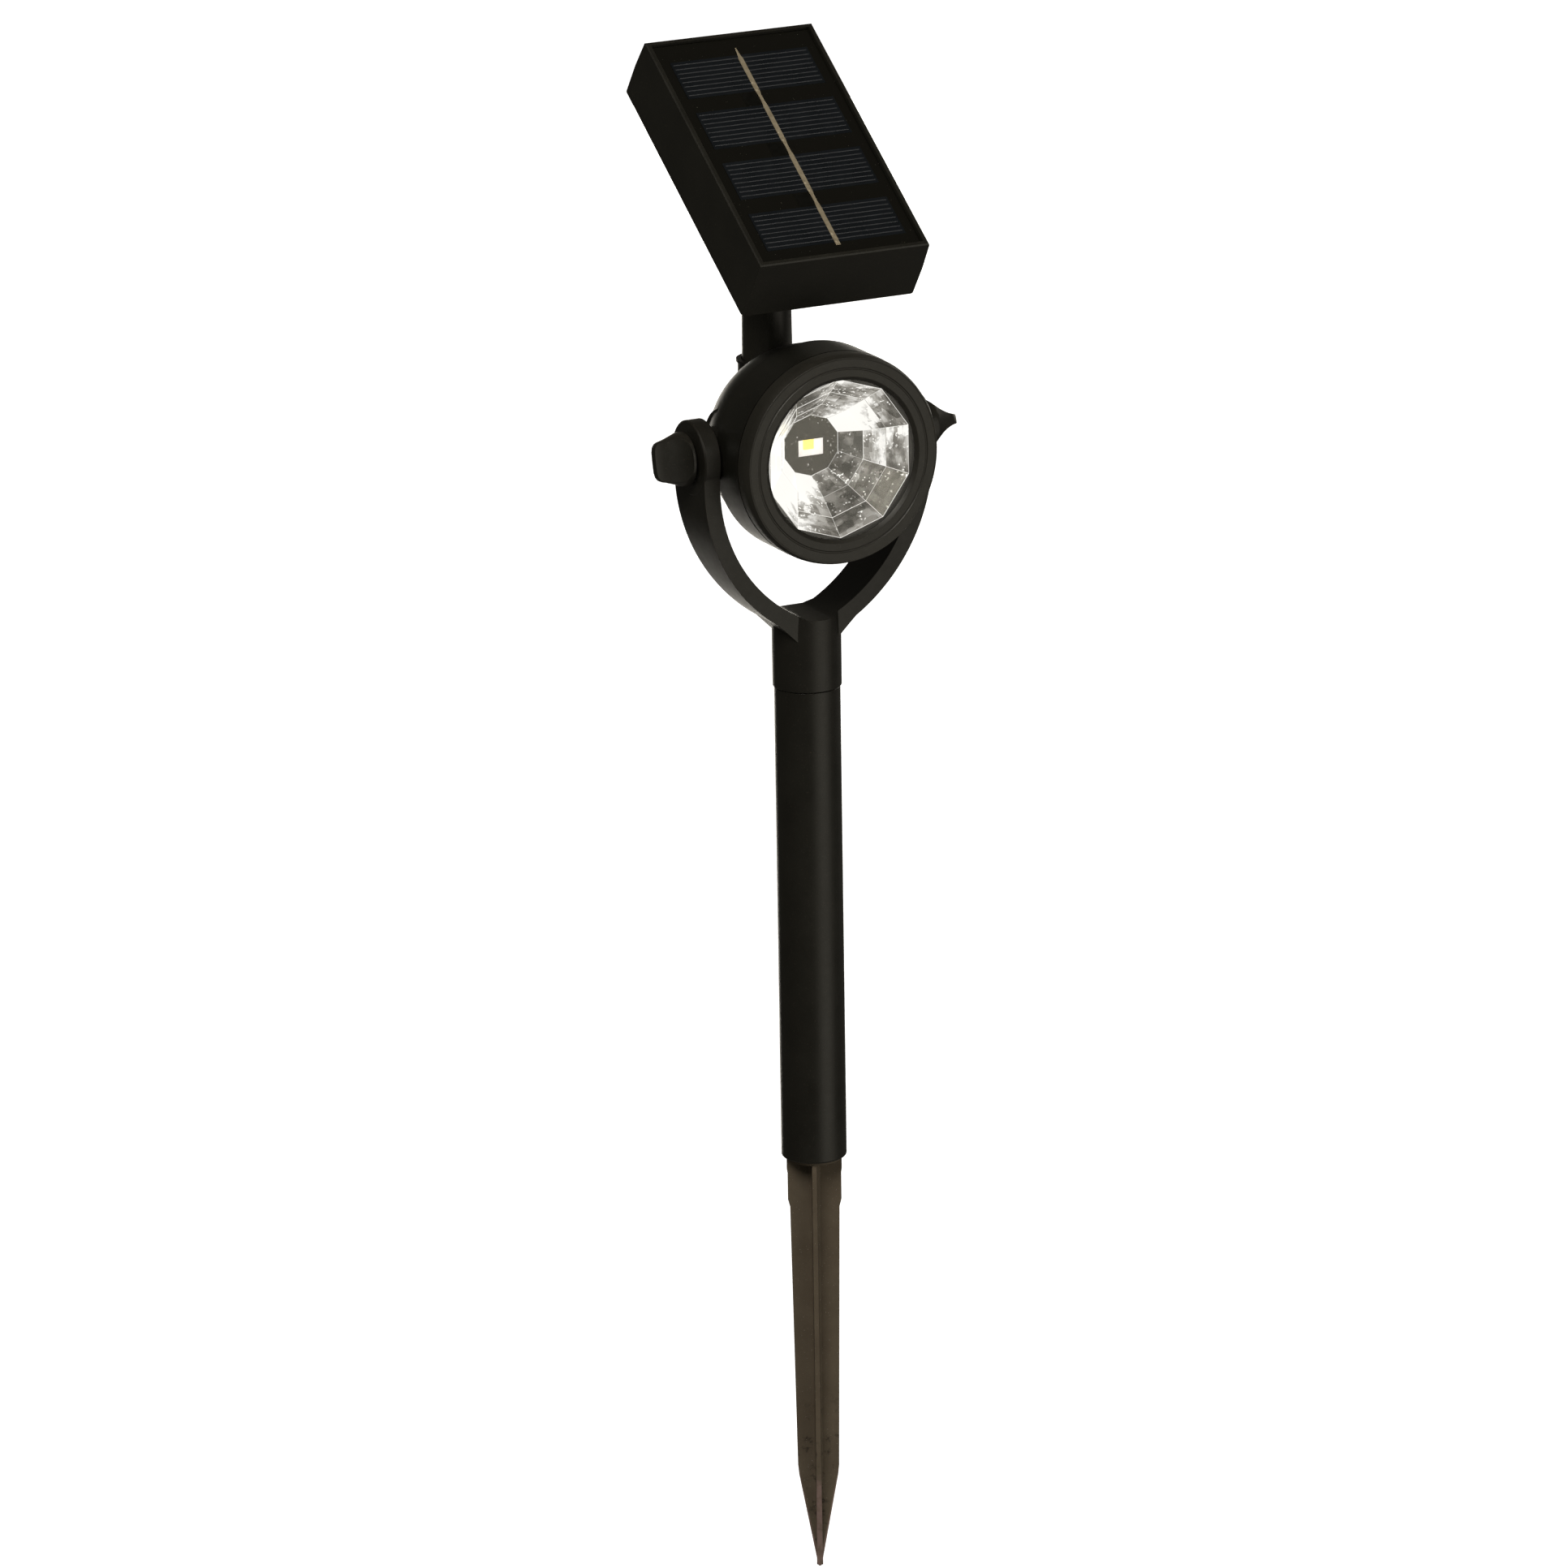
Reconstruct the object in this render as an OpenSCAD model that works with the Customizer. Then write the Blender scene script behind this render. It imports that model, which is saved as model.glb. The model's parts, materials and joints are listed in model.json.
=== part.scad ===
// Solar garden spotlight on a ground stake.
// Millimetres, +Z up, origin on the pole axis at the ground line, where the pole tube
// meets the spike. The lamp faces -Y and the tilt pivot runs along X.

/* [Stake] */
// outer diameter of the pole tube
pole_d = 22.8; // [18:0.2:30]
// length of the pole tube above the ground line
pole_len = 170; // [80:1:400]
// wall of the pole tube
pole_wall = 1.9; // [1.2:0.1:3]
// depth of the spike below the ground line
spike_len = 153.5; // [100:0.5:220]
// width across the spike fins just below the pole
spike_span = 18.7; // [14:0.1:19]
// thickness of a spike fin at its root
fin_t = 2.2; // [1.2:0.1:3]
// heading of the spike fins about the pole axis
fin_heading = -26.8; // [-45:0.1:45]

/* [Yoke] */
// height of the tilt pivot
pivot_z = 255.8; // [240:0.1:280]
// half of the clear width between the yoke ears
ear_in = 37.5; // [36:0.1:45]
// thickness of the yoke ears
ear_t = 6.1; // [4:0.1:9]
// diameter of the yoke ears
ear_d = 25.8; // [20:0.2:32]
// diameter of the yoke collar above the pole
collar_d = 23.8; // [22:0.1:30]
// thickness of the bent yoke arms
arm_t = 5.9; // [4:0.1:8]

/* [Lamp head] */
// radius of the domed rear of the head
dome_r = 34.7; // [30:0.1:36]
// distance of the dome centre in front of the pivot
dome_a = 4.5; // [0:0.1:8]
// radius of the barrel behind the bezel
barrel_r = 36.5; // [34:0.1:37]
// distance of the bezel face in front of the pivot
bezel_a = 29.6; // [26:0.1:36]
// radius of the sharp front edge of the bezel
bezel_r = 35.5; // [33:0.1:36]
// radius of the lens opening
opening_r = 27.5; // [20:0.1:29]

/* [Solar panel] */
// slope of the panel against the horizontal
panel_tilt = 35.4; // [0:0.1:60]
// width of the panel face
panel_w = 63.4; // [50:0.1:90]
// length of the panel face
panel_l = 104; // [80:0.5:140]
// depth of the panel box
panel_h = 23.6; // [18:0.1:35]
// growth of the box to each side towards its underside
panel_draft = 0.9; // [0:0.1:2]
// distance of the neck axis behind the pole axis
neck_y = 26.45; // [20:0.1:30]
// diameter of the neck tube at the head
neck_d = 17.4; // [14:0.1:20]

/* [Assembly] */

/* [Hidden] */
$fn = 96;
fin_edge_t = 1.5;
pole_r = pole_d / 2;
bore_r = pole_r - pole_wall;
ear_out = ear_in + ear_t;
ear_r = ear_d / 2;
collar_r = collar_d / 2;
arm_out = ear_in + arm_t;
arc_x = 20.1;
arc_z = pivot_z - 7.8;
arc_out = arm_out + arc_x;
arc_in = arc_out - arm_t;
saddle_r = 40;
saddle_z = 195.6;
spigot_r = bore_r - 0.08;
spigot_z = 146;
seal_z = 157;
screw_r = 3;
screw_bore = 3.06;
boss_face = ear_in - 0.6;
boss_r = 9.5;
shoulder_face = 30.4;
shoulder_r = 15;
insert_r = 4.5;
knob_len = 12.8;
knob_gap = 0.15;
knob_base_r = 9.2;
knob_tip_r = 6.9;
knob_bore = 5.2;
scoop_r = 13;
blade_t = 2.9;
left_turn = 12;
right_turn = 70;
wall = 2.3;
bore_a = barrel_r - 2.6;
joint_a = 22.4;
skirt_r = bore_a - 0.1;
seat_r = 31.6;
lens_a = 26.9;
lens_t = 1.35;
lip_a = 28.3;
floor_a = 5;
floor_r = 10.7;
ring1_a = 13.5;
ring1_r = 16.3;
ring2_a = 20;
ring2_r = 21.9;
rim_a = 26.1;
rim_r = 27.5;
shell_t = 1.1;
carrier_a = 3;
pocket_r = neck_d / 2 + 0.3;
neck_boss_r = pocket_r + 1.2;
neck_top_r = 8.1;
neck_foot = 276.4;
neck_bore = 5.8;
spindle_r = 7.5;
clip_z = 263.3;
panel_y = 9.3;
panel_z = 357.6;
plate_w = 59.6;
plate_l = 100.2;
plate_z = -1.2;
cell_w = 52;
cell_h = 16.9;
cell_pitch = 23.49;
cell_first = 33.9;
cover_t = 2;
cover_w = 60.2;
cover_l = 101;
cover_screw_x = 26.6;
cover_screw_y = 46.6;
battery_r = 7.15;
battery_l = 49.5;
battery_z = -13.6;
switch_y = -38;
switch_on_x = 2.2;

// ---- helpers ----

// children drawn along +Z end up pointing out of the lamp, from the pivot
module head_frame() {
  translate([0, 0, pivot_z])
    rotate([90, 0, 0])
      children();
}

// children drawn in the panel's own frame: face at z = 0, +Y up the slope
module panel_frame() {
  translate([0, panel_y, panel_z])
    rotate([panel_tilt, 0, 0])
      children();
}

// children drawn along +Z end up pointing outwards from the pivot on one side
module side_frame(side) {
  translate([0, 0, pivot_z])
    rotate([0, side * 90, 0])
      children();
}

module tube(r_out, r_in, z0, z1) {
  translate([0, 0, z0])
    difference() {
      cylinder(r = r_out, h = z1 - z0);
      translate([0, 0, -1])
        cylinder(r = r_in, h = z1 - z0 + 2);
    }
}

module block(w, l, z0, z1) {
  translate([-w / 2, -l / 2, z0])
    cube([w, l, z1 - z0]);
}

// ten-sided solid whose radius (to the corners) grows from r0 at z0 to r1 at z1
module facet_cone(r0, r1, z0, z1) {
  f = cos(18);
  intersection_for (k = [0:4])
    rotate([0, 0, 36 * k])
      rotate([90, 0, 0])
        linear_extrude(height = 80, center = true)
          polygon([[-r0 * f, z0], [r0 * f, z0], [r1 * f, z1], [-r1 * f, z1]]);
}

// ---- stake ----

// one pair of opposite fins: half widths against depth, thinner towards their edges
module fin_pair() {
  s = spike_span / 2;
  reach = s + 0.25;
  intersection() {
    rotate([90, 0, 0])
      linear_extrude(height = 2 * fin_t, center = true)
        polygon([[-reach, -1.2], [-reach, -5.2], [-s, -6.6], [-s, -16.4],
                 [-s + 0.72, -19.2], [-s + 1.3, -54], [-s + 1.7, -84], [-s + 2.1, -115.5],
                 [-s + 2.45, -119], [-0.6, -spike_len], [0.6, -spike_len],
                 [s - 2.45, -119], [s - 2.1, -115.5], [s - 1.7, -84], [s - 1.3, -54],
                 [s - 0.72, -19.2], [s, -16.4], [s, -6.6], [reach, -5.2], [reach, -1.2]]);
    translate([0, 0, -spike_len - 1])
      linear_extrude(height = spike_len + 1)
        polygon([[-reach - 1, -fin_edge_t / 2], [0, -fin_t / 2], [reach + 1, -fin_edge_t / 2],
                 [reach + 1, fin_edge_t / 2], [0, fin_t / 2], [-reach - 1, fin_edge_t / 2]]);
  }
}

module ground_spike()
  color([0.2, 0.18, 0.16])
    rotate([0, 0, fin_heading]) {
      fin_pair();
      rotate([0, 0, 90])
        fin_pair();
      rotate_extrude()
        polygon([[0, 0], [2.2, 0], [2.1, -20], [1.8, -115], [0.95, -spike_len + 2],
                 [0.8, -spike_len], [0.5, -spike_len - 0.45], [0, -spike_len - 0.6]]);
      // plug pushed up into the pole tube, with its end plate
      tube(bore_r - 0.04, bore_r - 1.8, -1.2, 26);
      translate([0, 0, -1.2])
        cylinder(r = bore_r - 0.04, h = 1.6);
    }

module pole_tube()
  color([0.1, 0.1, 0.09])
    rotate_extrude()
      polygon([[bore_r, 0], [pole_r - 0.5, 0], [pole_r, 0.5], [pole_r, pole_len],
               [bore_r, pole_len]]);

// ---- yoke ----

// area inside a pointed arch made of two arcs of radius r
module ogive(r) {
  intersection() {
    translate([arc_x, arc_z])
      circle(r = r, $fn = 180);
    translate([-arc_x, arc_z])
      circle(r = r, $fn = 180);
  }
}

module arch_space() {
  intersection() {
    ogive(arc_in);
    translate([0, saddle_z + saddle_r])
      circle(r = saddle_r, $fn = 180);
    translate([-60, saddle_z - 10])
      square([120, arc_z - saddle_z + 10]);
  }
  translate([-ear_in, arc_z])
    square([2 * ear_in, 40]);
}

module fork_outline() {
  intersection() {
    ogive(arc_out);
    translate([-70, 176])
      square([140, arc_z - 176]);
  }
  polygon([[20, 200.1], [8, 188.4], [-8, 188.4], [-20, 200.1]]);
  translate([-arm_out, arc_z])
    square([2 * arm_out, pivot_z - arc_z]);
}

module arm_taper() {
  rotate([90, 0, 90])
    linear_extrude(height = 120, center = true)
      polygon([[-9, 170], [9, 170], [9, 192], [11.2, 240], [11.7, pivot_z + 1],
               [-11.7, pivot_z + 1], [-11.2, 240], [-9, 192]]);
}

module yoke_fork()
  color([0.11, 0.11, 0.1])
    difference() {
      union() {
        intersection() {
          rotate([90, 0, 0])
            linear_extrude(height = 40, center = true)
              fork_outline();
          arm_taper();
        }
        rotate_extrude()
          polygon([[0, 170.2], [collar_r - 0.3, 170.2], [collar_r, 170.5], [collar_r, 200],
                   [0, 200]]);
        translate([0, 0, spigot_z])
          cylinder(r = spigot_r, h = 25);
        for (s = [-1, 1])
          side_frame(s)
            translate([0, 0, ear_in])
              rotate_extrude()
                polygon([[0, 0], [ear_r - 0.4, 0], [ear_r, 0.4], [ear_r, ear_t - 0.5],
                         [ear_r - 0.5, ear_t], [0, ear_t]]);
      }
      rotate([90, 0, 0])
        linear_extrude(height = 60, center = true)
          arch_space();
      // hollow of the spigot, groove of its seal, bores of the ears
      translate([0, 0, spigot_z - 1])
        cylinder(r = 5.5, h = 23);
      tube(spigot_r + 1, spigot_r - 1.85, seal_z - 1.1, seal_z + 1.1);
      side_frame(1)
        cylinder(r = screw_bore, h = 160, center = true);
    }

module swivel_o_ring()
  color([0.05, 0.05, 0.05])
    translate([0, 0, seal_z])
      rotate_extrude()
        translate([bore_r - 0.95, 0])
          circle(r = 0.9, $fn = 48);

module pivot_washers()
  color([0.75, 0.75, 0.73])
    for (s = [-1, 1])
      side_frame(s)
        tube(9, screw_bore + 0.02, ear_in - 0.55, ear_in - 0.05);

// ---- lamp head ----

module head_solid() {
  head_frame() {
    translate([0, 0, dome_a])
      sphere(r = dome_r, $fn = 180);
    translate([0, 0, dome_a + 1.5])
      cylinder(r = barrel_r, h = joint_a - dome_a - 1.5, $fn = 180);
  }
  // stepped faces that meet the yoke ears
  side_frame(1) {
    cylinder(r = boss_r, h = 2 * boss_face, center = true);
    cylinder(r = shoulder_r, h = 2 * shoulder_face, center = true);
  }
  // upright socket of the neck, with the thin flange round its mouth
  translate([0, neck_y, 257])
    cylinder(r = neck_boss_r, h = 22.5);
  translate([0, neck_y, 278.7])
    cylinder(r = neck_boss_r + 0.5, h = 0.8);
}

module head_space() {
  head_frame() {
    difference() {
      union() {
        translate([0, 0, dome_a])
          sphere(r = dome_r - wall, $fn = 180);
        translate([0, 0, dome_a])
          cylinder(r = bore_a, h = 60, $fn = 180);
      }
      // walls round the pivot inserts
      rotate([0, 90, 0])
        difference() {
          cylinder(r = boss_r, h = 80, center = true);
          cylinder(r = boss_r + 1, h = 60, center = true);
        }
      // three posts that carry the light source
      for (k = [0:2])
        rotate([0, 0, 120 * k + 90])
          translate([22, 0, -40])
            cylinder(r = 3.4, h = 41.5);
    }
  }
  translate([0, neck_y, neck_foot - 0.2])
    cylinder(r = pocket_r, h = 30);
  translate([0, neck_y, 260])
    cylinder(r = spindle_r + 0.05, h = 30);
  translate([0, neck_y, 259])
    cylinder(r = pocket_r, h = 5.9);
}

module head_housing()
  color([0.11, 0.11, 0.1])
    difference() {
      head_solid();
      head_space();
      side_frame(1)
        cylinder(r = insert_r + 0.03, h = 100, center = true);
      head_frame()
        for (k = [0:2])
          rotate([0, 0, 120 * k + 90])
            translate([22, 0, -8])
              cylinder(r = 1.25, h = 20);
    }

module threaded_inserts()
  color([0.8, 0.65, 0.3])
    for (s = [-1, 1])
      side_frame(s)
        tube(insert_r, screw_bore, 30.6, boss_face);

module led_carrier()
  color([0.8, 0.8, 0.8])
    head_frame()
      difference() {
        translate([0, 0, carrier_a - 1.5])
          cylinder(r = 26, h = 1.5);
        for (k = [0:2])
          rotate([0, 0, 120 * k + 90])
            translate([22, 0, -1])
              cylinder(r = 1.6, h = 8);
        translate([0, -8, -1])
          cylinder(r = 2, h = 8);
      }

module carrier_screws()
  color([0.7, 0.7, 0.7])
    head_frame()
      for (k = [0:2])
        rotate([0, 0, 120 * k + 90])
          translate([22, 0, 0])
            rotate_extrude()
              polygon([[0, -6], [1.2, -6], [1.2, carrier_a], [2.6, carrier_a],
                       [2.6, carrier_a + 0.9], [2, carrier_a + 1.5], [0, carrier_a + 1.5]]);

module led_board()
  color([0.95, 0.95, 0.93])
    head_frame()
      block(13, 9.4, carrier_a, carrier_a + 1);

module led_chip()
  color([0.95, 0.85, 0.4])
    head_frame()
      translate([-0.7, 0.3, 0])
        block(3.8, 3.4, carrier_a + 1, carrier_a + 1.75);

module reflector()
  color([0.9, 0.9, 0.9])
    head_frame()
      difference() {
        union() {
          rotate([0, 0, 18]) {
            facet_cone(floor_r + shell_t, ring1_r + shell_t, floor_a - 0.9, ring1_a);
            facet_cone(ring1_r + shell_t - 0.43, ring2_r + shell_t, ring1_a - 0.5, ring2_a);
            facet_cone(ring2_r + shell_t - 0.46, rim_r + shell_t, ring2_a - 0.5, rim_a);
          }
          translate([0, 0, rim_a - 1])
            cylinder(r = seat_r - 0.15, h = 1);
          for (k = [0:2])
            rotate([0, 0, 120 * k + 30])
              translate([9.6, 0, carrier_a])
                cylinder(r = 1.4, h = 1.6);
        }
        rotate([0, 0, 18]) {
          facet_cone(floor_r, ring1_r, floor_a, ring1_a + 0.001);
          facet_cone(ring1_r, ring2_r, ring1_a, ring2_a + 0.001);
          facet_cone(ring2_r, rim_r, ring2_a, rim_a + 0.001);
          facet_cone(rim_r, rim_r, rim_a, rim_a + 2);
        }
        translate([-0.1, -0.7, 0])
          block(9.3, 5.6, carrier_a, floor_a + 1);
      }

module lens_gasket()
  color([0.06, 0.06, 0.06])
    head_frame()
      tube(seat_r - 0.1, 28.6, rim_a + 0.02, lens_a - 0.02);

module lens()
  color([0.85, 0.92, 0.95, 0.4])
    head_frame()
      translate([0, 0, lens_a])
        cylinder(r = seat_r - 0.2, h = lens_t, $fn = 180);

module bezel_ring()
  color([0.2, 0.2, 0.18])
    head_frame()
      rotate_extrude($fn = 180)
        polygon([[seat_r, 15], [skirt_r - 0.4, 15], [skirt_r, 15.4], [skirt_r, joint_a + 0.1],
                 [barrel_r - 0.3, joint_a + 0.1], [barrel_r - 0.1, joint_a + 0.4],
                 [barrel_r - 0.1, 26.4], [barrel_r - 0.35, 27.9], [bezel_r, bezel_a],
                 [bezel_r - 0.35, bezel_a], [bezel_r - 0.5, bezel_a - 0.15],
                 [32.1, bezel_a - 0.15], [31.9, bezel_a - 0.45], [31.5, bezel_a - 0.45],
                 [31.3, bezel_a - 0.15], [opening_r + 1.5, bezel_a - 0.15],
                 [opening_r + 1.2, bezel_a - 0.3], [opening_r + 0.1, lip_a + 0.15],
                 [opening_r, lip_a], [seat_r, lip_a]]);

// ---- clamp knobs ----

// grip with two scoops; its foot lies at z = 0 and it points along +Z
module knob_grip() {
  difference() {
    rotate_extrude()
      polygon([[screw_r + 0.02, 0], [6.2, 0], [6.2, 0.9], [knob_base_r - 0.4, 0.9],
               [knob_base_r, 1.3], [knob_base_r, 3.4], [knob_base_r - 0.3, 4.2],
               [8.3, 5.8], [7.7, 7.6], [7.2, 9.2], [knob_tip_r, 10.5],
               [knob_tip_r - 0.5, 11.5], [knob_tip_r - 1.5, 12.3], [knob_tip_r - 3.1, 12.7],
               [0, knob_len], [0, knob_bore], [screw_r + 0.02, knob_bore]]);
    for (s = [-1, 1])
      intersection() {
        translate([s * (blade_t / 2 + scoop_r), 0, knob_len + 0.9])
          rotate([90, 0, 0])
            cylinder(r = scoop_r, h = 40, center = true);
        translate([-20, -20, 2.2])
          cube([40, 40, 20]);
      }
  }
}

// threaded rod from the insert out to the middle of the grip
module clamp_screw()
  translate([0, 0, 31.4])
    difference() {
      cylinder(r = screw_r, h = ear_out + knob_gap + knob_bore - 0.1 - 31.4);
      translate([0, 0, -0.01])
        cylinder(r = 0.9, h = 0.6);
    }

module knob_place(side)
  side_frame(side)
    translate([0, 0, ear_out + knob_gap])
      rotate([0, 0, side < 0 ? 90 + left_turn : right_turn - 90])
        knob_grip();

module left_knob()
  color([0.12, 0.12, 0.11])
    knob_place(-1);

module right_knob()
  color([0.12, 0.12, 0.11])
    knob_place(1);

module left_clamp_screw()
  color([0.7, 0.7, 0.7])
    side_frame(-1)
      clamp_screw();

module right_clamp_screw()
  color([0.7, 0.7, 0.7])
    side_frame(1)
      clamp_screw();

// ---- neck and solar panel ----

module neck_tube()
  color([0.1, 0.1, 0.09])
    difference() {
      translate([0, neck_y, 0])
        rotate_extrude()
          polygon([[neck_bore, 261.4], [spindle_r - 0.4, 261.4], [spindle_r, 261.8],
                   [spindle_r, clip_z - 0.05], [spindle_r - 0.9, clip_z - 0.05],
                   [spindle_r - 0.9, clip_z + 1.05], [spindle_r, clip_z + 1.05],
                   [spindle_r, neck_foot], [neck_d / 2, neck_foot], [neck_top_r, 350],
                   [neck_bore, 350]]);
      panel_frame()
        block(120, 160, -panel_h, 40);
    }

module neck_clip()
  color([0.7, 0.7, 0.7])
    translate([0, neck_y, 0])
      difference() {
        tube(8.6, spindle_r - 0.85, clip_z, clip_z + 1);
        translate([-3, -12, clip_z - 1])
          cube([6, 12, 3]);
      }

// drafted outside of the panel box with small corner radii
module panel_solid() {
  hw = panel_w / 2;
  hl = panel_l / 2;
  corner = 1.6;
  cw = hw + panel_draft - corner;
  cl = hl + panel_draft - corner;
  intersection() {
    rotate([90, 0, 0])
      linear_extrude(height = 200, center = true)
        polygon([[-hw - panel_draft, -panel_h], [hw + panel_draft, -panel_h],
                 [hw + 0.03, -0.4], [hw - 0.4, 0], [-hw + 0.4, 0], [-hw - 0.03, -0.4]]);
    rotate([90, 0, 90])
      linear_extrude(height = 200, center = true)
        polygon([[-hl - panel_draft, -panel_h], [hl + panel_draft, -panel_h],
                 [hl + 0.03, -0.4], [hl - 0.4, 0], [-hl + 0.4, 0], [-hl - 0.03, -0.4]]);
    union() {
      block(2 * cw, 2 * cl + 2 * corner, -panel_h, 0);
      block(2 * cw + 2 * corner, 2 * cl, -panel_h, 0);
      for (x = [-cw, cw])
        for (y = [-cl, cl])
          translate([x, y, -panel_h])
            cylinder(r = corner, h = panel_h);
    }
  }
}

module panel_shell()
  color([0.1, 0.1, 0.09])
    panel_frame() {
      difference() {
        panel_solid();
        block(plate_w + 0.5, plate_l + 0.5, -3, 1);
        block(plate_w - 4, plate_l - 4, -10, 1);
        block(cover_w + 0.3, cover_l + 0.3, -panel_h - 1, -4.4);
      }
      // corner posts for the cover screws
      for (x = [-cover_screw_x, cover_screw_x])
        for (y = [-cover_screw_y, cover_screw_y])
          translate([x, y, 0])
            tube(3, 1.25, -panel_h + cover_t + 0.05, -4.2);
    }

module panel_cover()
  color([0.1, 0.1, 0.09])
    difference() {
      panel_frame()
        difference() {
          block(cover_w, cover_l, -panel_h, -panel_h + cover_t);
          for (x = [-cover_screw_x, cover_screw_x])
            for (y = [-cover_screw_y, cover_screw_y])
              translate([x, y, -panel_h - 1]) {
                cylinder(r = 1.6, h = 6);
                cylinder(r = 2.9, h = 2.1);
              }
          // slot of the switch
          translate([0, switch_y, 0])
            block(9, 4, -panel_h - 1, -15);
        }
      // passage of the leads into the neck
      translate([0, neck_y, 300])
        cylinder(r = neck_bore - 1, h = 80);
    }

module cover_screws()
  color([0.7, 0.7, 0.7])
    panel_frame()
      for (x = [-cover_screw_x, cover_screw_x])
        for (y = [-cover_screw_y, cover_screw_y])
          translate([x, y, -panel_h])
            rotate_extrude()
              polygon([[0, 0.1], [2, 0.1], [2.6, 0.5], [2.6, 1.05], [1.2, 1.05], [1.2, 9],
                       [0, 9]]);

module solar_plate()
  color([0.04, 0.04, 0.05])
    panel_frame()
      block(plate_w, plate_l, plate_z - 1.7, plate_z);

module solar_cells()
  color([0.2, 0.27, 0.38])
    panel_frame()
      for (k = [0:3])
        translate([0, cell_first - cell_pitch * k, 0])
          block(cell_w, cell_h, plate_z + 0.01, plate_z + 0.2);

module cell_ribbon()
  color([0.75, 0.74, 0.7])
    panel_frame()
      translate([0, -0.6, 0])
        block(1.6, 90, plate_z + 0.21, plate_z + 0.36);

module battery_cells()
  color([0.3, 0.5, 0.3])
    panel_frame()
      for (y = [-24, -8.6])
        translate([0, y, battery_z])
          rotate([0, 90, 0]) {
            cylinder(r = battery_r, h = battery_l - 1.2, center = true);
            translate([0, 0, (y < -16 ? 1 : -1) * (battery_l / 2 - 0.6)])
              cylinder(r = 2.6, h = 1.2, center = true);
          }

module battery_contacts()
  color([0.8, 0.8, 0.8])
    panel_frame()
      for (s = [-1, 1])
        for (y = [-24, -8.6])
          translate([s * (battery_l / 2 + 1.6), y, battery_z])
            cube([0.5, 12, 12], center = true);

module control_board()
  color([0.1, 0.35, 0.15])
    panel_frame()
      translate([0, 33, 0]) {
        block(40, 24, -13.6, -12);
        for (x = [-16, 16])
          for (y = [-8, 8])
            translate([x, y, -panel_h + cover_t + 0.02])
              cylinder(r = 1.8, h = panel_h - cover_t - 13.6);
        translate([6, 2, 0])
          block(8, 6, -12, -10.4);
        translate([-8, -4, -12])
          cylinder(r = 3, h = 5);
      }

module switch_body()
  color([0.75, 0.75, 0.75])
    panel_frame()
      translate([0, switch_y, 0])
        difference() {
          block(13, 6.6, -panel_h + cover_t + 0.05, -15.6);
          block(9, 4, -panel_h, -18);
        }

module switch_slider()
  color([0.15, 0.15, 0.15])
    panel_frame()
      translate([switch_on_x, switch_y, 0]) {
        block(4, 3.6, -panel_h - 1.3, -18.3);
        for (x = [-1.2, 0, 1.2])
          translate([x, 0, 0])
            block(0.5, 3.6, -panel_h - 1.6, -panel_h - 1.2);
      }

ground_spike();
pole_tube();
yoke_fork();
swivel_o_ring();
pivot_washers();
head_housing();
threaded_inserts();
led_carrier();
carrier_screws();
led_board();
led_chip();
reflector();
lens_gasket();
lens();
bezel_ring();
left_knob();
left_clamp_screw();
right_knob();
right_clamp_screw();
neck_tube();
neck_clip();
panel_shell();
panel_cover();
cover_screws();
solar_plate();
solar_cells();
cell_ribbon();
battery_cells();
battery_contacts();
control_board();
switch_body();
switch_slider();
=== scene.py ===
import json
import math

import bmesh
import bpy
from mathutils import Matrix, Vector

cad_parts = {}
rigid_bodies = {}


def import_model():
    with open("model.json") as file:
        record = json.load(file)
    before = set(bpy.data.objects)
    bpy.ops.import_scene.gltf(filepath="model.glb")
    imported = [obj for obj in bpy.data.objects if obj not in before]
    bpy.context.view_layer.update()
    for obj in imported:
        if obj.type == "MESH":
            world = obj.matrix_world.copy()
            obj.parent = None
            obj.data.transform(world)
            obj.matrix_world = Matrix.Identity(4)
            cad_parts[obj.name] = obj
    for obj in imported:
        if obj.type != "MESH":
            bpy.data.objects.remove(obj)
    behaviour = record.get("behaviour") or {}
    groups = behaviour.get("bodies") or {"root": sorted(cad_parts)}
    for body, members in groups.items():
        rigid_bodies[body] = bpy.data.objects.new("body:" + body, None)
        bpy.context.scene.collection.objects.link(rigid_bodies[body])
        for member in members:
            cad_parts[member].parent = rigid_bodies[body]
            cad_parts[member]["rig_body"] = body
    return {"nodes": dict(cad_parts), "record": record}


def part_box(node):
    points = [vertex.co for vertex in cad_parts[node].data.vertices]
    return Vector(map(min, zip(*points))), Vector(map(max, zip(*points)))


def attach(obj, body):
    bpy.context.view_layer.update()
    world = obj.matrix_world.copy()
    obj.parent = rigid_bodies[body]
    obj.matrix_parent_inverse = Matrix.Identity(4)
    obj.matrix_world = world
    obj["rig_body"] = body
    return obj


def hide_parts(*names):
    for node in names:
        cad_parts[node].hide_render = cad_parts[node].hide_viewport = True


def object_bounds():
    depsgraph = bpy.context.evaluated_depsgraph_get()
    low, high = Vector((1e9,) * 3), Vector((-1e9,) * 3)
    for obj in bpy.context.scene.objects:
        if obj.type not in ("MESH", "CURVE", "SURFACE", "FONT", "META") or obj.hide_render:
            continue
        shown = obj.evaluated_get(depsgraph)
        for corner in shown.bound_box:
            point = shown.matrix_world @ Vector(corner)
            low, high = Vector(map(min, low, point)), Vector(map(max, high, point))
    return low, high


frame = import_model()
NODES = frame["nodes"]
CAD_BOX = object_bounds()

# ---------------------------------------------------------------- materials


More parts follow.
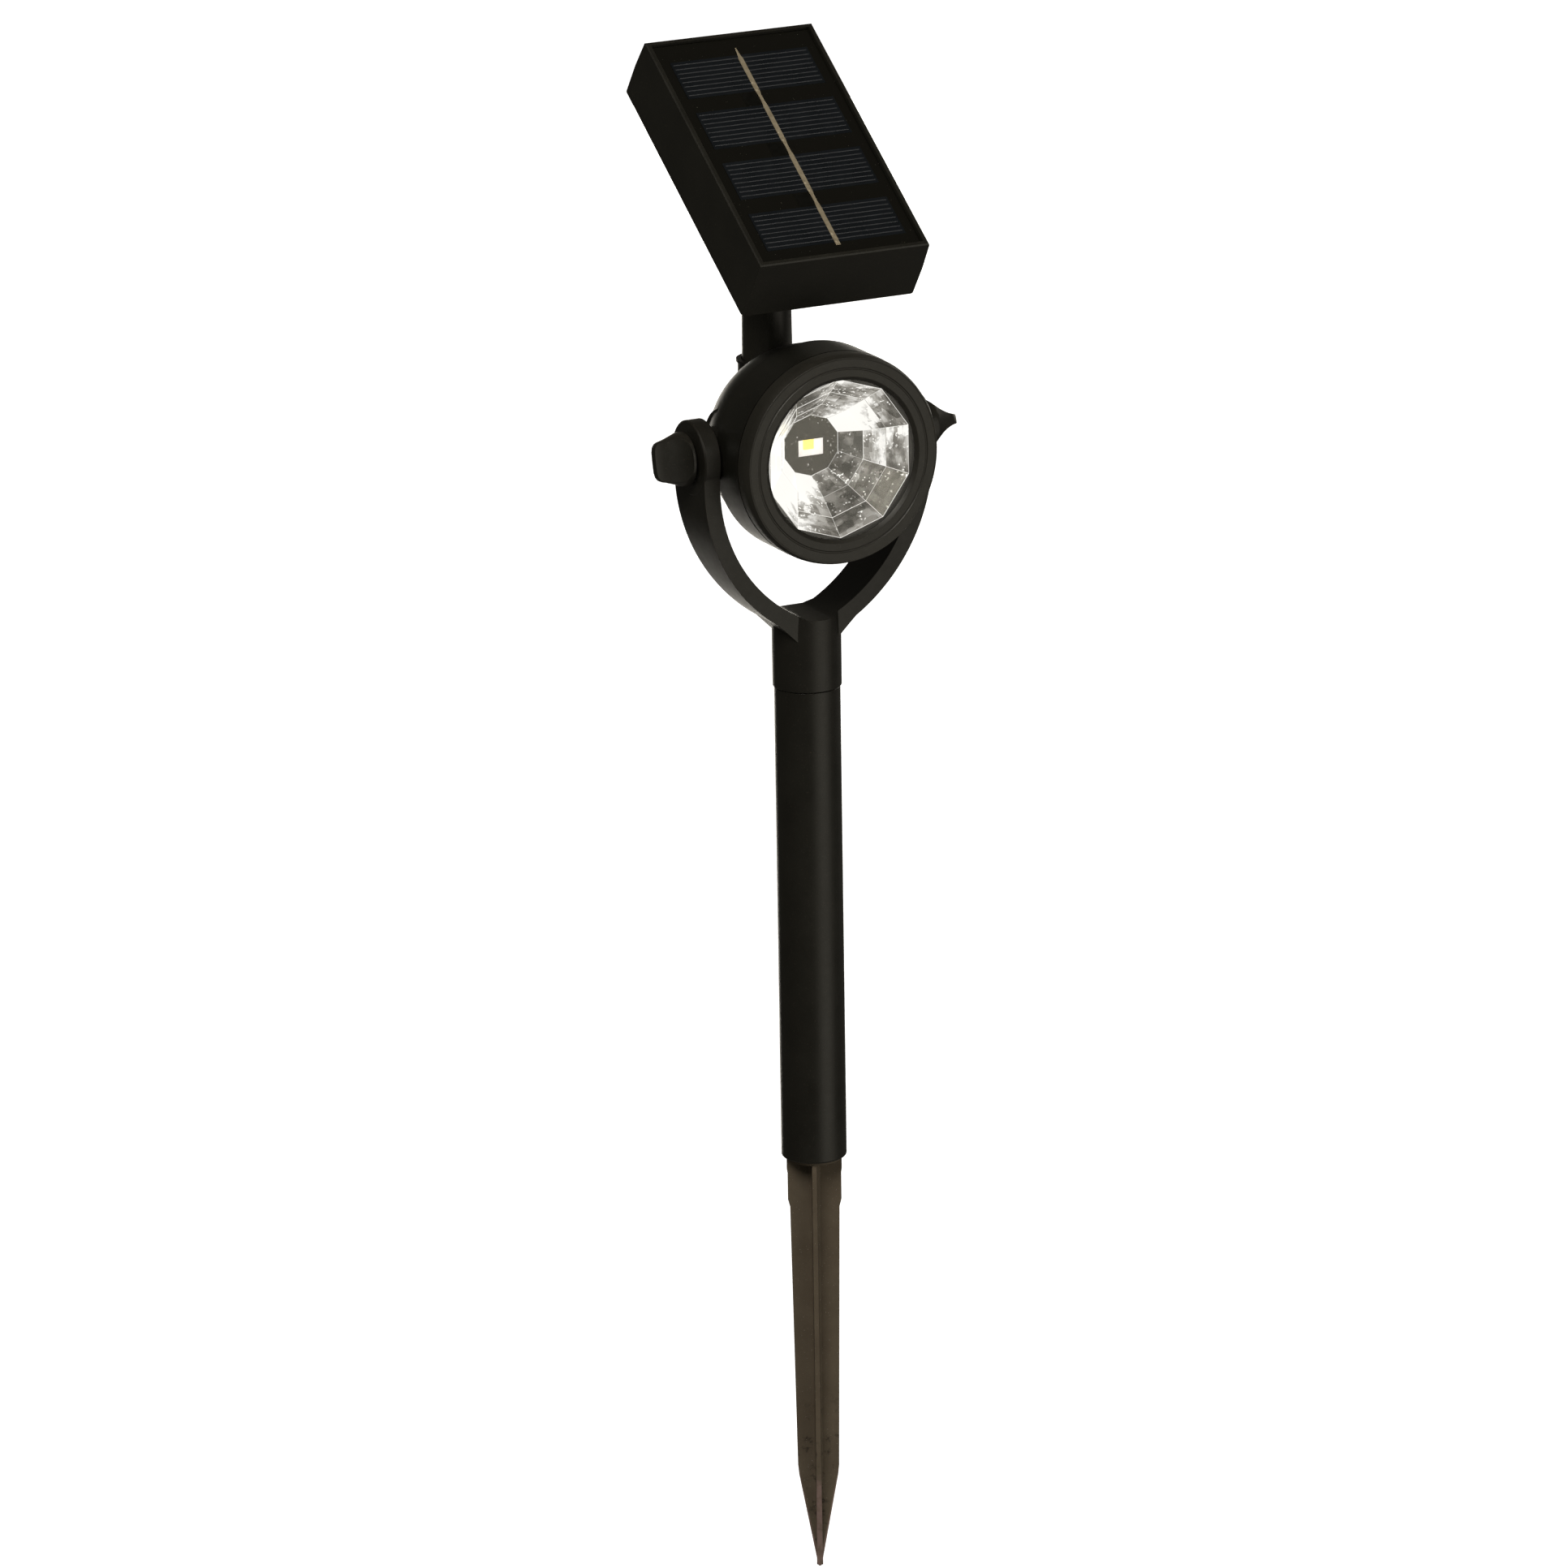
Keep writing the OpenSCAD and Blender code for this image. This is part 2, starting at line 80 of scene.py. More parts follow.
class Graph:
    """A material's node tree, built up by short calls."""

    def __init__(self, name):
        self.material = bpy.data.materials.new(name)
        self.material.use_nodes = True
        self.tree = self.material.node_tree
        self.tree.nodes.clear()
        self.out = self.add("ShaderNodeOutputMaterial")
        self.where = self.add("ShaderNodeTexCoord")

    def add(self, kind, inputs=None, **settings):
        node = self.tree.nodes.new(kind)
        for key, value in settings.items():
            setattr(node, key, value)
        for key, value in (inputs or {}).items():
            self.feed(node.inputs[key], value)
        return node

    def feed(self, socket, value):
        if isinstance(value, bpy.types.NodeSocket):
            self.tree.links.new(value, socket)
        else:
            socket.default_value = value

    def place(self, scale=(1, 1, 1), turn=(0, 0, 0)):
        """Object coordinates, stretched and turned."""
        node = self.add("ShaderNodeMapping", {"Vector": self.where.outputs["Object"]})
        node.inputs["Scale"].default_value = scale
        node.inputs["Rotation"].default_value = turn
        return node.outputs["Vector"]

    def noise(self, scale, detail=3.0, rough=0.55, at=None):
        node = self.add("ShaderNodeTexNoise")
        self.feed(node.inputs["Vector"], at or self.where.outputs["Object"])
        self.feed(node.inputs["Scale"], scale)
        self.feed(node.inputs["Detail"], detail)
        self.feed(node.inputs["Roughness"], rough)
        return node.outputs["Fac"]

    def ramp(self, value, low, high, start=0.0, end=1.0):
        """value from low..high to start..end, clamped."""
        node = self.add("ShaderNodeMapRange", {"Value": value}, clamp=True)
        node.inputs["From Min"].default_value = low
        node.inputs["From Max"].default_value = high
        node.inputs["To Min"].default_value = start
        node.inputs["To Max"].default_value = end
        return node.outputs["Result"]

    def maths(self, operation, a, b=0.0):
        node = self.add("ShaderNodeMath", operation=operation)
        self.feed(node.inputs[0], a)
        self.feed(node.inputs[1], b)
        return node.outputs[0]

    def mix(self, amount, a, b):
        node = self.add("ShaderNodeMix", data_type="RGBA")
        self.feed(node.inputs[0], amount)
        self.feed(node.inputs[6], a)
        self.feed(node.inputs[7], b)
        return node.outputs[2]

    def bump(self, height, distance, strength=1.0, under=None):
        node = self.add("ShaderNodeBump", {"Height": height})
        node.inputs["Distance"].default_value = distance
        node.inputs["Strength"].default_value = strength
        if under is not None:
            self.feed(node.inputs["Normal"], under)
        return node.outputs["Normal"]

    def finish(self, **inputs):
        shader = self.add("ShaderNodeBsdfPrincipled")
        for key, value in inputs.items():
            self.feed(shader.inputs[key.replace("_", " ")], value)
        self.tree.links.new(shader.outputs["BSDF"], self.out.inputs["Surface"])
        return self.material


def colour(r, g, b):
    return (r, g, b, 1.0)


def facing_up(g):
    """How far a surface faces up in the piece's own frame, where dust settles."""
    split = g.add("ShaderNodeSeparateXYZ", {"Vector": g.where.outputs["Normal"]})
    return g.ramp(split.outputs["Z"], 0.2, 0.95)


def moulded(name, base, dust, rough, grain=1500.0, dusty=0.10):
    """Satin injection-moulded plastic: fine spark-eroded grain, patchy gloss, a little settled dust."""
    g = Graph(name)
    patch = g.noise(55.0, 4.0)
    haze = g.noise(420.0, 3.0)
    speck = g.ramp(g.noise(2600.0, 1.0), 0.69, 0.76)
    settled = g.maths("MULTIPLY", facing_up(g), g.ramp(haze, 0.35, 0.75, 0.2, 1.0))
    amount = g.maths("MULTIPLY", settled, dusty)
    tint = g.mix(g.ramp(patch, 0.35, 0.7), base, colour(*[c * 1.35 for c in base[:3]]))
    tint = g.mix(amount, tint, dust)
    tint = g.mix(g.maths("MULTIPLY", speck, 0.25), tint, dust)
    gloss = g.ramp(g.maths("ADD", g.maths("MULTIPLY", patch, 0.6), g.maths("MULTIPLY", haze, 0.4)),
                   0.3, 0.7, rough - 0.05, rough + 0.07)
    skin = g.bump(g.noise(grain, 2.0), 0.00004, 0.6)
    skin = g.bump(g.noise(130.0, 2.0), 0.00012, 0.25, skin)
    return g.finish(Base_Color=tint, Roughness=gloss, Normal=skin)


def metal(name, base, rough):
    """Machined or plated metal with fine scratches."""
    g = Graph(name)
    lines = g.noise(900.0, 2.0, at=g.place((1, 1, 0.15)))
    blotch = g.noise(160.0, 3.0)
    tint = g.mix(g.ramp(blotch, 0.3, 0.75), base, colour(*[c * 0.72 for c in base[:3]]))
    gloss = g.ramp(lines, 0.3, 0.7, rough * 0.75, rough * 1.3)
    return g.finish(Base_Color=tint, Roughness=gloss, Metallic=1.0, Normal=g.bump(lines, 0.00002, 0.5))


DUST = colour(0.16, 0.13, 0.095)
MATERIALS = {
    "pole_plastic": moulded("pole_plastic", colour(0.0125, 0.0118, 0.0092), DUST, 0.40),
    "yoke_plastic": moulded("yoke_plastic", colour(0.0118, 0.0110, 0.0086), DUST, 0.42, dusty=0.03),
    "head_plastic": moulded("head_plastic", colour(0.0072, 0.0070, 0.0053), DUST, 0.42, dusty=0.02),
    "bezel_plastic": moulded("bezel_plastic", colour(0.020, 0.0190, 0.0154), DUST, 0.44, dusty=0.03),
    "knob_plastic": moulded("knob_plastic", colour(0.0125, 0.0120, 0.0096), DUST, 0.38),
    "neck_plastic": moulded("neck_plastic", colour(0.0170, 0.0164, 0.0130), DUST, 0.36),
    "panel_plastic": moulded("panel_plastic", colour(0.0115, 0.0111, 0.0085), DUST, 0.46, dusty=0.03),
    "slider_plastic": moulded("slider_plastic", colour(0.012, 0.012, 0.012), DUST, 0.45),
    "seal_rubber": moulded("seal_rubber", colour(0.010, 0.010, 0.010), DUST, 0.62, 2600),
    "battery_wrap": moulded("battery_wrap", colour(0.015, 0.06, 0.16), DUST, 0.3, 1800, 0.0),
    "board_green": moulded("board_green", colour(0.012, 0.09, 0.03), colour(0.05, 0.18, 0.07), 0.35, 2000),
    "washer_steel": metal("washer_steel", colour(0.62, 0.61, 0.58), 0.3),
    "insert_brass": metal("insert_brass", colour(0.72, 0.52, 0.22), 0.3),
    "carrier_aluminium": metal("carrier_aluminium", colour(0.8, 0.8, 0.79), 0.35),
    "screw_steel": metal("screw_steel", colour(0.55, 0.55, 0.54), 0.28),
    "contact_nickel": metal("contact_nickel", colour(0.68, 0.66, 0.6), 0.25),
    "switch_steel": metal("switch_steel", colour(0.6, 0.6, 0.6), 0.3),
}


def lens_clear():
    g = Graph("lens_clear")
    haze = g.noise(300.0, 3.0)
    return g.finish(Base_Color=colour(1.0, 1.0, 0.99), Roughness=g.ramp(haze, 0.3, 0.8, 0.0, 0.02),
                    Transmission_Weight=1.0, IOR=1.45, Specular_IOR_Level=0.25)


def led_phosphor():
    g = Graph("led_phosphor")
    grit = g.noise(2500.0, 2.0)
    tint = g.mix(g.ramp(grit, 0.3, 0.7), colour(1.0, 0.78, 0.17), colour(1.0, 0.86, 0.26))
    return g.finish(Base_Color=tint, Roughness=0.5, Emission_Color=tint, Emission_Strength=0.95)


def board_white():
    g = Graph("board_white")
    cloud = g.noise(420.0, 3.0)
    tint = g.mix(g.ramp(cloud, 0.3, 0.7), colour(0.80, 0.76, 0.72), colour(0.96, 0.93, 0.89))
    # painted light: the emission stands in for the LED's light falling on the white board
    return g.finish(Base_Color=tint, Roughness=0.4, Emission_Color=tint, Emission_Strength=0.95,
                    Normal=g.bump(g.noise(1800.0, 2.0), 0.00003, 0.4))


def spike_plastic():
    """Sun-dulled brown plastic, rubbed bright along the fin edges of the point and stained near the tip."""
    g = Graph("spike_plastic")
    split = g.add("ShaderNodeSeparateXYZ", {"Vector": g.where.outputs["Object"]})
    x, y, z = split.outputs
    radius = g.maths("SQRT", g.maths("ADD", g.maths("MULTIPLY", x, x), g.maths("MULTIPLY", y, y)))
    point_edge = g.ramp(z, TIP_Z, POINT_Z, *POINT_RADII)
    rubbed = g.ramp(g.maths("SUBTRACT", radius, point_edge), -0.0007, -0.0002)
    rubbed = g.maths("MULTIPLY", rubbed, g.ramp(z, POINT_Z + 0.003, POINT_Z - 0.002))
    rubbed = g.maths("MULTIPLY", rubbed, g.ramp(g.noise(300.0, 3.0), 0.35, 0.55, 0.35, 1.0))
    cloud = g.noise(70.0, 5.0, 0.65)
    tint = g.mix(g.ramp(cloud, 0.3, 0.72), colour(0.130, 0.103, 0.074), colour(0.172, 0.140, 0.102))
    stain = g.maths("MULTIPLY", g.ramp(g.noise(260.0, 4.0, 0.7), 0.56, 0.68), g.ramp(z, *STAINED_BELOW))
    tint = g.mix(g.maths("MULTIPLY", stain, 0.75), tint, colour(0.030, 0.022, 0.016))
    tint = g.mix(g.maths("MULTIPLY", rubbed, 0.8), tint, colour(0.36, 0.25, 0.235))
    specks = g.ramp(g.noise(2300.0, 1.0), 0.735, 0.765)
    tint = g.mix(specks, tint, colour(0.40, 0.36, 0.32))
    skin = g.bump(g.noise(900.0, 2.0), 0.00006, 0.6)
    return g.finish(Base_Color=tint, Roughness=g.ramp(cloud, 0.3, 0.7, 0.55, 0.68), Normal=skin,
                    Specular_IOR_Level=0.35)


def reflector_mirror():
    """Vacuum-coated plastic with the lamp's reflection painted on as emission: "glow" holds how brightly each
    spot shows that painted reflection.
    """
    g = Graph("reflector_mirror")
    glow = g.add("ShaderNodeAttribute", attribute_name="glow").outputs["Fac"]
    across = g.add("ShaderNodeAttribute", attribute_name="across").outputs["Vector"]
    chips = g.add("ShaderNodeTexVoronoi", {"Vector": across, "Scale": 2.6, "Randomness": 0.8},
                  distance="CHEBYCHEV")
    chip = g.add("ShaderNodeSeparateColor", {"Color": chips.outputs["Color"]}).outputs[0]
    cloud = g.noise(1.7, 4.0, 0.6, at=across)
    # dust specks on the mirror, made to shine by painted light added to the emission
    fine = g.noise(1250.0, 0.0)
    cluster = g.ramp(g.noise(170.0, 2.0), 0.47, 0.56)
    dots = g.maths("MULTIPLY", g.ramp(fine, 0.66, 0.72), cluster)
    wave = g.maths("ADD", g.ramp(chip, 0.2, 0.8, -0.13, 0.12), g.ramp(cloud, 0.42, 0.58, -0.15, 0.12))
    # painted reflection of the lamp: each spot's glow, varied by chip and cloud, given out as emission
    lit = g.maths("ADD", glow, g.maths("MULTIPLY", wave, g.ramp(glow, 0.0, 0.6, 0.25, 1.0)))
    lit = g.maths("MAXIMUM", g.maths("ADD", lit, g.maths("MULTIPLY", dots, 0.50)), MIRROR_FLOOR)
    power = g.maths("POWER", lit, MIRROR_CONTRAST)
    shade = g.mix(g.ramp(power, 0.0, 0.7), colour(0.86, 0.80, 0.70), colour(1.0, 0.985, 0.95))
    shown = g.mix(g.ramp(power, 0.0, 1.0), colour(0, 0, 0), shade)
    return g.finish(Base_Color=colour(0.07, 0.068, 0.060), Metallic=0.85, Roughness=0.24,
                    Emission_Color=shown, Emission_Strength=1.0, Normal=g.bump(cloud, 0.00006, 0.5))


def plate_black():
    g = Graph("plate_black")
    haze = g.noise(240.0, 4.0)
    speck = g.ramp(g.noise(1500.0, 1.0), 0.75, 0.80)
    tint = g.mix(speck, colour(0.0075, 0.0070, 0.0052), colour(0.08, 0.075, 0.06))
    return g.finish(Base_Color=tint, Roughness=g.ramp(haze, 0.3, 0.7, 0.16, 0.26),
                    Normal=g.bump(haze, 0.00004, 0.3))


def pad_black():
    g = Graph("pad_black")
    haze = g.noise(600.0, 3.0)
    tint = g.mix(haze, colour(0.0030, 0.0030, 0.0022), colour(0.0055, 0.0054, 0.0040))
    return g.finish(Base_Color=tint, Roughness=g.ramp(haze, 0.3, 0.7, 0.35, 0.5), Specular_IOR_Level=0.3)


def tinned(name, low, high, metallic):
    """Dull solder-dipped metal."""
    g = Graph(name)
    blotch = g.noise(700.0, 3.0)
    tint = g.mix(g.ramp(blotch, 0.3, 0.7), low, high)
    return g.finish(Base_Color=tint, Metallic=metallic, Roughness=g.ramp(blotch, 0.3, 0.7, 0.42, 0.55),
                    Normal=g.bump(blotch, 0.00004, 0.5))


def cell_silicon():
    g = Graph("cell_silicon")
    haze = g.noise(140.0, 4.0)
    tint = g.mix(g.ramp(haze, 0.3, 0.7), colour(0.0064, 0.0084, 0.0114), colour(0.0094, 0.0122, 0.0160))
    return g.finish(Base_Color=tint, Roughness=g.ramp(haze, 0.3, 0.7, 0.24, 0.34),
                    Normal=g.bump(haze, 0.00003, 0.3))


TIP_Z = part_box("ground_spike")[0].z
POINT_Z = TIP_Z + 0.0345  # where the fins start to narrow to the point
POINT_RADII = (0.0006, 0.0069)  # half the spike's width at the tip and at POINT_Z
STAINED_BELOW = (-0.085, -0.105)  # the heights between which the stains come in
# least level and contrast of the reflector's painted reflection
MIRROR_FLOOR = 0.03
MIRROR_CONTRAST = 3.0
for make in (spike_plastic, lens_clear, led_phosphor, board_white, reflector_mirror, plate_black,
             cell_silicon, pad_black):
    MATERIALS[make.__name__] = make()
MATERIALS["ribbon_tinned"] = tinned(
    "ribbon_tinned", colour(0.33, 0.275, 0.19), colour(0.46, 0.40, 0.29), 0.15)
MATERIALS["finger_silver"] = tinned(
    "finger_silver", colour(0.064, 0.067, 0.075), colour(0.084, 0.088, 0.098), 0.0)


def dress(obj, name):
    obj.data.materials.clear()
    obj.data.materials.append(MATERIALS[name])
    for face in obj.data.polygons:
        face.material_index = 0


for part in frame["record"]["subparts"]:
    dress(NODES[part["node"]], part["material_slot"])

# ---------------------------------------------------------------- pieces

MM = 0.001
WELD = 0.003 * MM
FLAT_WITHIN = math.radians(0.3)
EASED_ABOVE = math.radians(28.0)
SMOOTH_BELOW = math.radians(32.0)


def body_of(node):
    return NODES[node]["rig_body"]


def add_piece(name, mesh, body, slot_name, stands_for=(), finish=None):
    """A new piece in the row frame: set on its body, dressed in the slot's material or the finish named, with
    the CAD nodes that it stands for hidden.

    The finish is the slot's own material unless another one is named."""
    obj = bpy.data.objects.new(name, mesh)
    bpy.context.scene.collection.objects.link(obj)
    obj.data.materials.clear()
    obj.data.materials.append(MATERIALS[finish or slot_name])
    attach(obj, body)
    if stands_for:
        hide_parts(*stands_for)
    return obj


def settle_normals(bm, mesh):
    """Smooth shading with hard edges kept, written to the mesh."""
    for face in bm.faces:
        face.smooth = True
    for edge in bm.edges:
        edge.smooth = len(edge.link_faces) == 2 and edge.calc_face_angle(0) < SMOOTH_BELOW
    bm.to_mesh(mesh)
    bm.free()


def rounded(node, width, slot_name):
    """The CAD node's own shape with its hard edges eased, standing for the node."""
    bm = bmesh.new()
    bm.from_mesh(NODES[node].data)
    bmesh.ops.remove_doubles(bm, verts=bm.verts, dist=WELD)
    bmesh.ops.dissolve_limit(bm, angle_limit=FLAT_WITHIN, verts=bm.verts, edges=bm.edges)
    hard = [e for e in bm.edges if len(e.link_faces) == 2 and e.calc_face_angle(0) > EASED_ABOVE]
    bmesh.ops.bevel(bm, geom=hard, offset=width * MM, offset_type="OFFSET", segments=2,
                    profile=0.5, affect="EDGES", clamp_overlap=True)
    mesh = bpy.data.meshes.new(node + "_eased")
    settle_normals(bm, mesh)
    obj = add_piece(node + "_eased", mesh, body_of(node), slot_name, [node])
    weight = obj.modifiers.new("weighted_normals", "WEIGHTED_NORMAL")
    weight.keep_sharp = True


def frame_of_face(node, pick):
    """Origin and axes of the flat face of a node that looks the way pick says: x across, y along, z out."""
    mesh = NODES[node].data
    faces = [f for f in mesh.polygons if f.normal.dot(pick) > 0.9]
    normal = sum((f.normal * f.area for f in faces), Vector()).normalized()
    points = [mesh.vertices[i].co for f in faces for i in f.vertices]
    along = normal.cross(Vector((1, 0, 0))).normalized()
    middle = [(min(p.dot(d) for p in points) + max(p.dot(d) for p in points)) / 2
              for d in (Vector((1, 0, 0)), along, normal)]
    axes = Matrix((Vector((1, 0, 0)), along, normal)).transposed()
    return Matrix.Translation(axes @ Vector(middle)) @ axes.to_4x4()


def slab(bm, outline, low, high):
    """A flat prism: an outline in x and y (mm) between two heights (mm)."""
    bottom = [bm.verts.new((x * MM, y * MM, low * MM)) for x, y in outline]
    top = [bm.verts.new((x * MM, y * MM, high * MM)) for x, y in outline]
    bm.faces.new(top)
    bm.faces.new(list(reversed(bottom)))
    for i in range(len(outline)):
        j = (i + 1) % len(outline)
        bm.faces.new((bottom[i], bottom[j], top[j], top[i]))


def bar(bm, x0, x1, y0, y1, low, high):
    slab(bm, [(x0, y0), (x1, y0), (x1, y1), (x0, y1)], low, high)


def bead(bm, x, y, z, radius, height, sides=14):
    """A low round blob, like a solder joint."""
    rings = []
    for share in (0.0, 0.45, 0.8, 1.0):
        size, lift = radius * math.cos(share * math.pi / 2), height * math.sin(share * math.pi / 2)
        ring = []
        for k in range(sides if share < 1 else 1):
            turn = 2 * math.pi * k / sides
            ring.append(bm.verts.new(((x + size * math.cos(turn)) * MM, (y + size * math.sin(turn)) * MM,
                                      (z + lift) * MM)))
        rings.append(ring)
    for a, b in zip(rings, rings[1:]):
        for k in range(sides):
            n = (k + 1) % sides
            bm.faces.new((a[k], a[n], b[n], b[k]) if len(b) > 1 else (a[k], a[n], b[0]))


# ---- solar face: frame from the CAD plate, cell rows from the CAD cells

PLATE = frame_of_face("solar_plate", Vector((0, -0.5, 0.8)))


def cell_rows():
    """(lowest y, highest y, top z) of each cell in the plate's frame, in mm, topmost cell first."""
    back = PLATE.inverted()
    points = [back @ v.co / MM for v in NODES["solar_cells"].data.vertices]
    top = max(p.z for p in points)
    levels = sorted({round(p.y, 2) for p in points})
    return [(levels[i], levels[i + 1], top) for i in range(0, len(levels), 2)][::-1]


CELLS = cell_rows()
# millimetres, from here to the end of the solar face
FINGERS = 8
FINGER_PITCH = 2.013
FINGER_REACH = 25.25
FINGER_HALF = 0.16
FINGER_RISE = 0.02
LINK_HALF = 0.58
RIBBON_HALF = 0.86
RIBBON_EASE = 2.2
RIBBON_LIFT = 0.04
RIBBON_RISE = 0.12
RIBBON_TAIL = 3.2
PAD_ENDS = (-6.6, -1.15)
PAD_GAP = 0.35
PAD_RISE = 0.05


def put_on_plate(bm, name):
    bm.transform(PLATE)
    bmesh.ops.recalc_face_normals(bm, faces=bm.faces)
    mesh = bpy.data.meshes.new(name)
    settle_normals(bm, mesh)
    return mesh


def cell_fingers():
    """The fine printed silver lines across each cell."""
    bm = bmesh.new()
    for low, high, top in CELLS:
        for k in range(FINGERS):
            y = (low + high) / 2 + ((FINGERS - 1) / 2 - k) * FINGER_PITCH
            bar(bm, -FINGER_REACH, FINGER_REACH, y - FINGER_HALF, y + FINGER_HALF, top, top + FINGER_RISE)
    add_piece("cell_fingers", put_on_plate(bm, "cell_fingers"), "panel", "ribbon_tinned",
              finish="finger_silver")


def solder_ribbon():
    """The tinned strip that joins the cells: wide on each cell, narrow between, pointed at the top end."""
    top = CELLS[0][2] + RIBBON_LIFT
    tail = CELLS[0][1] + RIBBON_TAIL
    left, right = [(-0.1, tail)], [(0.25, tail)]
    last = len(CELLS) - 1
    for i, (low, high, _) in enumerate(CELLS):
        enter = high - 0.6 if i else high - 1.6
        leave = low + 0.5 if i < last else low - 1.4
        for edge, side in ((left, -1), (right, 1)):
            edge.append((side * LINK_HALF, enter + (RIBBON_EASE if i else 0.8)))
            edge.append((side * RIBBON_HALF, enter))
            edge.append((side * RIBBON_HALF, leave))
            if i < last:
                edge.append((side * LINK_HALF, leave - RIBBON_EASE))
    bm = bmesh.new()
    for (l0, r0), (l1, r1) in zip(zip(left, right), zip(left[1:], right[1:])):
        slab(bm, [l0, l1, r1, r0], top - RIBBON_LIFT, top + RIBBON_RISE)
    bmesh.ops.remove_doubles(bm, verts=bm.verts, dist=0.001 * MM)
    for low, high, _ in CELLS:
        bead(bm, 0.0, low + (high - low) * 0.23, top + 0.1, 0.85, 0.30)
        bead(bm, 0.05, low + 0.4, top + 0.1, 0.7, 0.25)
    add_piece("solder_ribbon", put_on_plate(bm, "solder_ribbon"), "panel", "ribbon_tinned",
              ["cell_ribbon"])


def link_pads():
    """Dark tape squares beside the ribbon in the gaps between the cells."""
    bm = bmesh.new()
    for upper, lower in zip(CELLS, CELLS[1:]):
        bar(bm, *PAD_ENDS, lower[1] + PAD_GAP, upper[0] - PAD_GAP, 0.0, PAD_RISE)
    add_piece("link_pads", put_on_plate(bm, "link_pads"), "panel", "plate_black", finish="pad_black")


# ---- reflector: rings of flat facets, each ring's corners taken from the CAD reflector's own levels

PIVOT = (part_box("pivot_washers")[0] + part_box("pivot_washers")[1]) / 2
SIDES = 10
STEP = 2 * math.pi / SIDES
HALF_STEP = math.pi / SIDES
# distance in front of the pivot and radius of each ring of facet corners, mm, from the floor outwards
RINGS = [(5.0, 10.7), (13.5, 16.3), (20.0, 21.9), (26.1, 27.5)]
# the floor's window for the LED board, mm to each side of the lamp's axis: left, right, below, above
WINDOW = (-4.75, 4.55, -3.5, 2.1)
# which of the floor's ten corners each side of the window is joined to, the lower side first
WINDOW_REACH = [(6, 7, 8), (8, 9, 0, 1), (1, 2, 3), (3, 4, 5, 6)]
# painted reflection of the lamp: how brightly each facet's corners show it, from the right-hand facet round
# through the top:
# lower turn and higher turn at the facet's inner end, then the same two at its outer end
GLOW = [
    [(0.36, 0.42, 0.42, 0.40), (1.2, 1.3, 1.4, 1.4), (0.85, 0.62, 1.0, 0.50), (0.6, 0.42, 0.48, 0.38),
     (0.45, 1.0, 0.5, 1.3), (1.4, 1.4, 1.4, 1.4), (1.4, 1.4, 1.4, 1.4), (1.4, 1.3, 1.4, 0.9),
     (0.9, 0.45, 0.6, 0.4), (0.38, 0.36, 0.45, 0.55)],
    [(0.80, 0.85, 0.72, 0.8), (1.1, 1.4, 0.55, 1.3), (1.1, 0.5, 0.78, 0.55), (0.46, 0.36, 0.52, 0.38),
     (0.42, 1.2, 0.55, 1.3), (1.4, 1.4, 1.4, 1.4), (1.4, 1.4, 1.4, 1.4), (1.2, 0.6, 0.8, 0.45),
     (0.45, 0.36, 0.38, 0.42), (0.5, 0.75, 0.36, 0.45)],
    [(0.62, 0.85, 0.70, 0.9), (0.45, 1.1, 0.36, 0.6), (0.75, 0.42, 0.68, 0.85), (0.6, 0.40, 0.70, 0.45),
     (0.42, 1.1, 0.5, 1.2), (1.4, 1.4, 1.4, 1.4), (1.4, 0.9, 1.4, 0.8), (0.8, 0.5, 0.9, 0.5),
     (0.40, 0.40, 0.5, 0.55), (0.36, 0.4, 0.36, 0.42)],
]
# painted glow of the mirror's floor and painted highlight along the facet ridges
FLOOR_GLOW = 0.15
EDGE_GLOW = 1.00
EDGE_HALF = 0.09 * MM
EDGE_LIFT = 0.12 * MM
PARTS = 6  # squares along each side of a facet


def head_point(r, turn, a):
    """A point in front of the pivot: radius and turn round the lamp's axis, a = distance in front, mm."""
    return Vector((r * math.cos(turn), -a, r * math.sin(turn))) * MM + Vector((0, PIVOT.y, PIVOT.z))


def looked(bm, name, looks):
    """A mesh that carries each vertex's painted glow and its place on its facet, in the order they were made.
    """
    mesh = bpy.data.meshes.new(name)
    bm.to_mesh(mesh)
    bm.free()
    glow = mesh.attributes.new("glow", "FLOAT", "POINT")
    across = mesh.attributes.new("across", "FLOAT_VECTOR", "POINT")
    for i, (level, place) in enumerate(looks):
        glow.data[i].value = level
        across.data[i].vector = place
    return mesh


